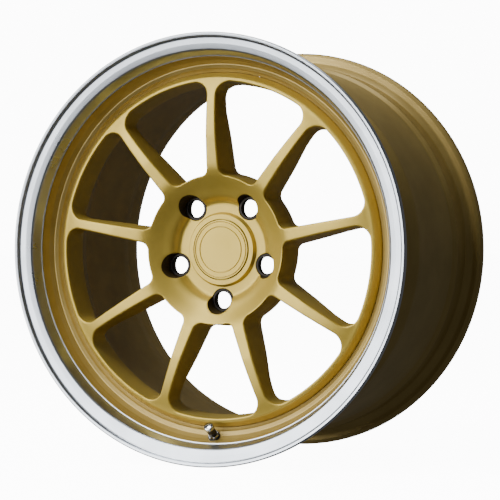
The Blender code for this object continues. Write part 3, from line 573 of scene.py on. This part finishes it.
def buildCentre(size=centreSizes):
    pitch = 2 * math.pi / size["spokes"]
    angles = [math.pi / 2 + (k + 0.5) * pitch for k in range(size["spokes"])]
    soft, bevel, outerRadius = size["softEdge"], size["pocketChamfer"], size["faceRadius"]

    def insetAt(depth):
        return (depth - size["draftFrom"]) * size["draft"]

    def outlineAt(depthOf):
        # the window's own outline where its drafted wall meets a surface of that depth
        base, nudged = windowShape(0.0), windowShape(1.0)
        points = base.copy()
        for _ in range(4):
            depth = depthOf(np.hypot(points[:, 0], points[:, 1]))
            points = base + (nudged - base) * insetAt(depth)[:, None]
        return points

    def offsetOf(points, distance):
        before, after = np.roll(points, 1, 0), np.roll(points, -1, 0)
        tangent = after - before
        tangent /= np.linalg.norm(tangent, axis=1)[:, None]
        return points + np.stack([tangent[:, 1], -tangent[:, 0]], 1) * distance

    frontEdge = outlineAt(lambda r: faceDepth(r) + soft)
    backEdge = outlineAt(lambda r: backDepth(r) - size["softBack"])
    lugs = lugCentres()
    pocketEdges = []
    for centre in lugs:
        turnAngles = np.linspace(0, 2 * math.pi, size["roundPoints"] + 1)[:-1]
        unit = np.stack([np.cos(turnAngles), np.sin(turnAngles)], 1)
        reach = np.full(size["roundPoints"], size["pocket"] + 0.6)
        for _ in range(12):
            at = centre + unit * reach[:, None]
            depth = faceDepth(np.hypot(at[:, 0], at[:, 1]))
            drafted = size["pocket"] + size["pocketDraft"] * (size["pocketFloor"] - depth)
            reach = 0.5 * reach + 0.5 * drafted
        pocketEdges.append(centre + unit * (reach + bevel)[:, None])

    def sheet(edge, band, lugLoops, keyRadii, depthOf, outer, inner, drop):
        holes = [turned2d(edge, a) for a in angles]
        bands = []
        for share in (0.12, 0.3, 0.55, 0.8, 1.0):
            ring = offsetOf(edge, band * share)
            bands += [turned2d(ring, a) for a in angles]
        circles = [circle2d((0, 0), r, roundCount(r)) for r in keyRadii]
        solid = np.concatenate(bands + holes)
        tree = KDTree(len(solid))
        for i, p in enumerate(solid):
            tree.insert((p[0], p[1], 0), i)
        tree.balance()
        # free points on rings about the axis, away from the edges
        loose = []
        radius = inner + size["grid"]
        while radius < outer:
            count = int(2 * math.pi * radius / size["grid"])
            loose.append(circle2d((0, 0), radius, count))
            radius += size["grid"]
        loose = np.concatenate(loose)
        sector = np.ones(len(loose), bool)
        for hole in holes + lugLoops:
            sector &= ~insideOutline(hole, loose)
        loose = loose[sector]
        far = [tree.find((p[0], p[1], 0))[2] > 1.2 for p in loose]
        loose = loose[np.array(far)]
        gaps = np.array([min(abs(np.hypot(*p) - k) for k in keyRadii) for p in loose])
        loose = loose[gaps > 0.9]
        for loop in lugLoops:
            apart = loose[:, None] - loop[None]
            nearest = np.min(np.hypot(apart[..., 0], apart[..., 1]), 1)
            loose = loose[nearest > 0.9]
        wall = KDTree(len(edge) * len(angles) * 3)
        dense = np.concatenate(holes)
        follow = np.concatenate([np.roll(h, -1, 0) for h in holes])
        i = 0
        for share in (0, 1 / 3, 2 / 3):
            for p in dense + (follow - dense) * share:
                wall.insert((p[0], p[1], 0), i)
                i += 1
        wall.balance()

        def depthAt(flat):
            base = depthOf(np.hypot(flat[:, 0], flat[:, 1]))
            away = np.array([wall.find((p[0], p[1], 0))[2] for p in flat])
            inEdge = np.clip(1 - away / band, 0, 1)
            return base + drop * (1 - np.sqrt(1 - inEdge ** 2))

        return planSheet(circles + bands, holes + lugLoops, loose, depthAt, outer + 1e-3, inner - 1e-3)

    frontRadii = [size["recess"], 38.9, 39.4, 41.0, 41.5, 51.5, 53.4, 55.5, 58.0, 188.4, 189.3, 190.2, 192.4,
                  194.2, outerRadius]
    backRadii = [size["bore"], 37.7, 75.4, 76.0, 78.0, 181.0, 183.2, 193.4, outerRadius]
    reliefs = [circle2d(c, size["relief"], size["roundPoints"]) for c in lugs]
    front = sheet(frontEdge, soft, pocketEdges, frontRadii, faceDepth, outerRadius, size["recess"], soft)
    back = sheet(backEdge, size["softBack"], reliefs, backRadii, backDepth, outerRadius, size["bore"],
                 -size["softBack"])
    bm = bmesh.new()

    def addPoints(flat, depth):
        return [bm.verts.new((x * mm, y * mm, halfWidth - d * mm)) for (x, y), d in zip(flat, depth)]

    for flat, tris, depth in (front, back):
        used = np.unique(tris)
        made = dict(zip(used, addPoints(flat[used], depth[used])))
        for t in tris:
            bm.faces.new([made[i] for i in t])

    def wall(loops, finishIndex=0):
        # quads between matching closed loops of (plan points, depths)
        rows = [addPoints(flat, depth) for flat, depth in loops]
        for upper, lower in zip(rows, rows[1:]):
            for i in range(len(upper)):
                j = (i + 1) % len(upper)
                bm.faces.new((upper[i], upper[j], lower[j], lower[i])).material_index = finishIndex

    frontDepth = faceDepth(np.hypot(frontEdge[:, 0], frontEdge[:, 1])) + soft
    backDepths = backDepth(np.hypot(backEdge[:, 0], backEdge[:, 1])) - size["softBack"]
    for a in angles:
        steps = [0, 0.33, 0.66, 1]
        wall([(turned2d(frontEdge + (backEdge - frontEdge) * s, a), frontDepth + (backDepths - frontDepth) * s)
              for s in steps])
    for centre, edge in zip(lugs, pocketEdges):
        depth = faceDepth(np.hypot(edge[:, 0], edge[:, 1]))
        lower = edge - (edge - centre) / np.linalg.norm(edge - centre, axis=1)[:, None] * bevel
        wall([(edge, depth), (lower, depth + bevel)])
        loops, points = [(lower, depth + bevel)], size["roundPoints"]
        loops += [(circle2d(centre, r, points), np.full(points, d)) for r, d in (
            (size["pocket"], size["pocketFloor"]), (size["pocket"], 60.6), (12.0, 60.6), (12.0, 70.0),
            (size["relief"], 70.0), (size["relief"], 76.0))]
        # the pocket walls take the second finish, the dark brown painted shade
        wall(loops, 1)
    boreSteps = ((size["recess"], 52.4), (size["recess"], 57.5), (31.0, 57.5), (31.0, 64.0),
                 (size["bore"], 64.0), (size["bore"], 75.0))
    count = roundCount(size["recess"])
    wall([(circle2d((0, 0), r, count), np.full(count, d)) for r, d in boreSteps[:-1]])
    ringWall(bm, boreSteps[-2], boreSteps[-1], count, roundCount(size["bore"]), addPoints)
    count = roundCount(outerRadius)
    wall([(circle2d((0, 0), outerRadius, count), np.full(count, d)) for d in (41.0, 52.0, 63.5)])
    mesh = bpy.data.meshes.new("forgedCentre")
    bm.to_mesh(mesh)
    bm.free()
    piece = bpy.data.objects.new("forgedCentreDraft", mesh)
    bpy.context.scene.collection.objects.link(piece)
    mesh.materials.append(finishes["gold"])
    # second finish: painted shade on the bolt pocket walls
    mesh.materials.append(finishes["pocket"])
    return settle(piece, "forgedCentre", wheelTurn, 34)


def ringWall(bm, upper, lower, upperCount, lowerCount, addPoints):
    # triangles between two circles whose point counts differ
    a = addPoints(circle2d((0, 0), upper[0], upperCount), np.full(upperCount, upper[1]))
    b = addPoints(circle2d((0, 0), lower[0], lowerCount), np.full(lowerCount, lower[1]))
    i = j = 0
    while i < upperCount or j < lowerCount:
        if (i + 1) / upperCount <= (j + 1) / lowerCount and i < upperCount:
            bm.faces.new((a[i % upperCount], a[(i + 1) % upperCount], b[j % lowerCount]))
            i += 1
        else:
            bm.faces.new((a[i % upperCount], b[(j + 1) % lowerCount], b[j % lowerCount]))
            j += 1


print("milling the forged centre")
fit(buildCentre(), "wheel", "gold_paint", "forged_center")


# bolt seats, spigot ring and centre cap, in mm

seatSizes = {"count": 5, "circle": 56.0, "outer": 12.7, "bore": 9.25, "top": 57.3, "bottom": 60.3, "cone": 1.1}
capSizes = {
    "plate": 32.9, "face": 51.5, "under": 54.7, "grooves": (25.3, 30.9), "grooveWidth": 1.2, "groove": 1.2,
    "edge": 0.5, "carrier": 30.6, "legWall": 1.8, "legEnd": 66.0, "legs": 6, "legColumns": 17, "slot": 6.0,
    "wire": 0.7, "wireDepth": 64.0,
}


def makeSeats(size=seatSizes):
    points = [(size["bore"] + size["cone"], size["top"]), (size["outer"] - 0.3, size["top"]),
              (size["outer"], size["top"] + 0.3), (size["outer"], size["bottom"]),
              (size["bore"], size["bottom"]), (size["bore"], size["top"] + size["cone"])]
    # dark steel seats; part of their darkness is painted shade at the pocket floor
    blank = turn("boltSeatBlank", depths(points), finishes["steel"], 72, None)
    seats = spaced(blank, "boltSeats", finishes["steel"], size["count"], size["circle"] * mm, -math.pi / 2)
    fit(seats, "wheel", "seat_steel", *[f"lug_seat_{i}" for i in range(1, 6)])


ringSizes = {"bore": 33.3, "outer": 36.4, "top": 64.3, "bottom": 75.5, "leadIn": 1.2}


def makeHubRing(size=ringSizes):
    bore, outer, top, bottom, lead = (size[k] for k in ("bore", "outer", "top", "bottom", "leadIn"))
    points = [(bore, top), (outer, top), (outer, bottom), (bore + lead, bottom), (bore, bottom - lead)]
    ring = turn("spigotRing", depths(rounded(points, [0.3, 0.3, 0.4, 0.4, 0.4], 3)), finishes["nylon"], 180)
    fit(ring, "wheel", "black_nylon", "hub_ring")


def makeCap(size=capSizes):
    face, half = size["face"], size["grooveWidth"] / 2
    points = [(0, face)]
    for groove in size["grooves"]:
        points += [(groove - half, face), (groove - half * 0.4, face + size["groove"]),
                   (groove + half * 0.4, face + size["groove"]), (groove + half, face)]
    points += [(size["plate"] - size["edge"], face), (size["plate"] - 0.15, face + 0.15),
               (size["plate"], face + size["edge"]), (size["plate"], size["under"]), (0, size["under"])]
    plate = turn("capPlate", depths(points), finishes["gold"], 216, sharpAngle=20)
    fit(plate, "center_cap", "cap_paint", "cap_plate")


def makeCapCarrier(size=capSizes):
    # web disc with six sprung legs, each one drawn as a swept sector and copied round
    outer, inner = size["carrier"], size["carrier"] - size["legWall"]
    top, web = size["under"] + 0.3, size["under"] + 1.9
    leg = [(inner, web - 0.5), (outer, web - 0.5), (outer, size["legEnd"] - 0.7), (outer - 0.7, size["legEnd"]),
           (inner, size["legEnd"])]
    half = math.pi / size["legs"] - math.asin(size["slot"] / 2 / outer)
    columns = size["legColumns"]
    bm = bmesh.new()
    rows = []
    for i in range(columns):
        angle = -half + 2 * half * i / (columns - 1)
        rows.append([bm.verts.new((r * math.cos(angle), r * math.sin(angle), h)) for r, h in depths(leg)])
    for a, b in zip(rows, rows[1:]):
        for i in range(len(leg)):
            j = (i + 1) % len(leg)
            bm.faces.new((a[i], a[j], b[j], b[i]))
    bm.faces.new(rows[0])
    bm.faces.new(rows[-1][::-1])
    mesh = bpy.data.meshes.new("capLeg")
    bm.to_mesh(mesh)
    bm.free()
    blank = bpy.data.objects.new("capLeg", mesh)
    bpy.context.scene.collection.objects.link(blank)
    legs = spaced(blank, "capLegs", finishes["nylon"], size["legs"], 0.0, math.pi / size["legs"])
    disc = turn("capCarrier", depths([(0, top), (outer, top), (outer, web), (0, web)]), finishes["nylon"], 144)
    for piece in (legs, disc):
        fit(piece, "center_cap", "black_nylon", "cap_clip")
    middle, depth = inner - 0.3 - size["wire"], size["wireDepth"]
    section = [(middle + size["wire"] * math.cos(a), depth + size["wire"] * math.sin(a))
               for a in np.linspace(0, 2 * math.pi, 13)[:-1]]
    wire = turn("capWireRing", depths(section), finishes["spring"], 144, sharpAngle=80)
    fit(wire, "center_cap", "spring_wire", "cap_wire")


print("fitting the hub pieces")
makeSeats()
makeHubRing()
makeCap()
makeCapCarrier()


# valve, in mm; heights run out from the seat point along the stem

def valveTurned(name, points, finish, body, slotName, *nodes, **more):
    shape = [(r * mm, h * mm) for r, h in points]
    piece = turn(name, shape, finishes[finish], valveSizes["segments"], valveTurn, **more)
    fit(piece, body, slotName, *nodes)


def threadPoints(radius, start, end, pitch):
    # crests and roots of a thread, drawn as rings
    count = int((end - start) / pitch * 2)
    deep = valveSizes["threadDepth"]
    return [(radius - (deep if i % 2 else 0.0), start + (end - start) * i / count) for i in range(count + 1)]


def makeValve(v=valveSizes):
    stem, bore, foot = v["stem"], 2.7, v["foot"]
    outside = [(bore, 16.4), (v["thread"] - 0.4, 16.4)]
    outside += threadPoints(v["thread"], 8.2, 16.0, v["threadPitch"])[::-1]
    outside += threadPoints(stem, -10.4, 7.7, v["threadPitch"])[::-1]
    outside += [(stem, -12.6), (foot - 0.3, -12.6), (foot, -12.9), (foot, -15.2), (foot - 0.4, -15.6),
                (bore, -15.6)]
    valveTurned("valveStem", outside, "stemNickelAndGripShade", "wheel", "valve_brass", "valve_stem")
    washer = [(stem + 0.3, 1.7), (6.3, 1.7), (6.7, 1.5), (6.8, 1.0), (6.7, 0.5), (6.4, 0.3), (stem + 0.3, 0.3)]
    valveTurned("valveWasher", washer, "rubber", "wheel", "black_rubber", "valve_outer_seal", sharpAngle=60)
    inner = [(stem + 0.3, -10.9), (foot, -10.9), (foot, -12.3), (stem + 0.3, -12.3)]
    valveTurned("valveGrommet", inner, "rubber", "wheel", "black_rubber", "valve_inner_seal")
    nut = [(stem + 0.7, 5.2), (5.25, 5.2), (6.12, 4.7), (6.12, 3.0), (6.12, 2.6), (6.15, 2.4), (6.15, 2.0),
           (stem + 0.4, 2.0), (stem + 0.3, 2.4), (stem + 0.3, 4.8)]
    valveTurned("valveNut", nut, "chrome", "wheel", "valve_chrome", "valve_nut", flats=(6, v["nutFlats"] * mm))
    head = [(0, 20.2), (4.8, 20.05), (5.1, 19.85), (5.35, 19.4), (5.4, 18.6), (5.4, 16.4), (5.2, 16.0),
            (4.5, 15.8), (4.1, 15.8), (4.1, 18.0), (0, 18.0)]
    valveTurned("valveCapHead", head, "chrome", "valve_cap_shell", "valve_chrome", "valve_cap", sharpAngle=40,
                flats=(8, v["capFlats"] * mm))
    # the grip of the chrome cap takes the dark stem finish: painted shade on its sides, while the head stays
    # bright
    grip = [(4.1, 15.8), (4.5, 15.8), (4.6, 15.6), (4.6, 9.4), (4.5, 8.9), (4.4, 8.6), (4.15, 8.6), (4.1, 9.0)]
    valveTurned("valveCapGrip", grip, "stemNickelAndGripShade", "valve_cap_shell", "valve_chrome", "valve_cap",
                sharpAngle=40, ripple=(v["knurls"], v["knurlHeight"] * mm, 4.55 * mm))
    gasket = [(1.6, 17.7), (3.7, 17.7), (3.8, 17.6), (3.8, 16.8), (3.7, 16.7), (1.6, 16.7)]
    valveTurned("valveCapGasket", gasket, "rubber", "valve_cap_seal", "black_rubber", "valve_cap_gasket")
    core = [(1.6, 14.9), (2.1, 14.9)] + threadPoints(2.4, 11.6, 14.6, 0.5)[::-1]
    core += [(2.1, 11.2), (2.1, 9.4), (2.4, 9.0), (2.4, 8.4), (0.85, 8.4), (0.85, 10.4), (1.6, 10.4)]
    valveTurned("valveCore", core, "brass", "wheel", "valve_brass", "valve_core_body")
    seal = [(0.85, 8.1), (2.3, 8.1), (2.4, 8.0), (2.4, 6.8), (2.3, 6.7), (0.85, 6.7)]
    valveTurned("valveCoreSeal", seal, "ptfe", "wheel", "white_ptfe", "valve_core_seal")
    pin = [(0, 16.2), (1.0, 16.2), (1.2, 16.0), (1.2, 15.6), (1.1, 15.5), (0.55, 15.5), (0.55, 6.4), (1.8, 6.4),
           (1.9, 6.3), (1.9, 5.6), (1.3, 5.0), (0, 5.0)]
    valveTurned("valvePin", pin, "brass", "valve_pin", "valve_brass", "valve_core_pin")


springSizes = {"turns": 4, "low": 10.88, "high": 13.82, "mean": 1.225, "wire": 0.18, "stepsPerTurn": 24}


def makeSpring(size=springSizes):
    # coil round the pin at its pressed length, with a curve bevelled to the wire's section
    turns, low, high, mean, wire = (size[k] for k in ("turns", "low", "high", "mean", "wire"))
    curve = bpy.data.curves.new("valveSpring", "CURVE")
    curve.dimensions = "3D"
    curve.bevel_depth = wire * mm
    curve.bevel_resolution = 3
    curve.use_fill_caps = True
    line = curve.splines.new("POLY")
    count = turns * size["stepsPerTurn"]
    line.points.add(count)
    for i, point in enumerate(line.points):
        angle = 2 * math.pi * turns * i / count
        height = low + (high - low) * i / count
        point.co = (mean * mm * math.cos(angle), mean * mm * math.sin(angle), height * mm, 1)
    coil = bpy.data.objects.new("valveSpringCurve", curve)
    curve.materials.append(finishes["spring"])
    bpy.context.scene.collection.objects.link(coil)
    fit(settle(coil, "valveSpring", valveTurn, 80), "wheel", "spring_wire", "valve_core_spring")


print("threading the valve")
makeValve()
makeSpring()


# studio: lens and sensor in mm, the rest in metres and degrees

studio = {
    "lens": 132.7, "sensor": 36, "distance": 1.9918, "azimuth": 26.588, "elevation": 0.121, "yaw": 25.025,
    "pitch": 0.135, "roll": -0.2, "backdrop": 12.0, "fill": 0.10, "floorHalf": 60, "floorGlow": 11.6,
    "floorGap": 0.0005,
}


def makeCamera():
    data = bpy.data.cameras.new("camera")
    data.lens = studio["lens"]
    data.sensor_width = studio["sensor"]
    data.clip_end = 50
    camera = bpy.data.objects.new("camera", data)
    bpy.context.scene.collection.objects.link(camera)
    azimuth, elevation, yaw, pitch, roll = (
        math.radians(studio[k]) for k in ("azimuth", "elevation", "yaw", "pitch", "roll"))
    camera.location = Vector((0, -halfWidth, 0)) + studio["distance"] * Vector((
        math.sin(azimuth) * math.cos(elevation), -math.cos(azimuth) * math.cos(elevation), math.sin(elevation)))
    look = Vector((-math.sin(yaw) * math.cos(pitch), math.cos(yaw) * math.cos(pitch), -math.sin(pitch)))
    right = look.cross(Vector((0, 0, 1))).normalized()
    up = right.cross(look)
    tilted = right * math.cos(roll) + up * math.sin(roll)
    upright = up * math.cos(roll) - right * math.sin(roll)
    camera.rotation_euler = Matrix((tilted, upright, -look)).transposed().to_euler()
    bpy.context.scene.camera = camera


def softBox(name, place, target, width, height, power, colour="#FFFFFF"):
    data = bpy.data.lights.new(name, "AREA")
    data.shape = "RECTANGLE"
    data.size, data.size_y = width, height
    data.energy = power
    data.color = fromHex(colour)[:3]
    light = bpy.data.objects.new(name, data)
    light.location = place
    light.rotation_euler = (Vector(target) - Vector(place)).to_track_quat("-Z", "Y").to_euler()
    bpy.context.scene.collection.objects.link(light)


def makeStudio():
    world = bpy.data.worlds.new("studio")
    bpy.context.scene.world = world
    world.use_nodes = True
    tree = world.node_tree
    tree.nodes.clear()
    path = addNode(tree, "ShaderNodeLightPath")
    seen = addNode(tree, "ShaderNodeBackground", Color=fromHex("#FFFFFF"), Strength=studio["backdrop"])
    fill = addNode(tree, "ShaderNodeBackground", Color=fromHex("#F2F2F4"), Strength=studio["fill"])
    mix = addNode(tree, "ShaderNodeMixShader", i0=path.outputs["Is Camera Ray"],
                  i1=fill.outputs[0], i2=seen.outputs[0])
    addNode(tree, "ShaderNodeOutputWorld", Surface=mix.outputs[0])
    mesh = bpy.data.meshes.new("floor")
    half = studio["floorHalf"]
    corners = [(-half, -half, 0), (half, -half, 0), (half, half, 0), (-half, half, 0)]
    mesh.from_pydata(corners, [], [(0, 1, 2, 3)])
    floor = bpy.data.objects.new("floor", mesh)
    floor.location.z = lipLow.z - studio["floorGap"]
    bpy.context.scene.collection.objects.link(floor)
    material, tree = newMaterial("paleFloor")
    # glows like the backdrop, so the two meet without a line; it lights nothing
    shader = addNode(tree, "ShaderNodeBsdfPrincipled", Base_Color=fromHex("#F4F4F3"), Roughness=0.7,
                     Emission_Color=fromHex("#FFFFFF"), Emission_Strength=studio["floorGlow"])
    finishMaterial(tree, shader)
    mesh.materials.append(material)
    floor.visible_diffuse = False
    floor.visible_glossy = False
    softBox("frontPanel", (-1.45, -2.5, 0.75), (0, 0, 0), 2.3, 2.4, 114)
    softBox("highKey", (-0.9, -1.5, 2.3), (0, 0, 0), 1.2, 1.0, 48)
    softBox("topStrip", (0.3, 0.6, 2.4), (0, 0.1, 0), 1.4, 0.8, 16)


print("setting the studio")
makeCamera()
makeStudio()
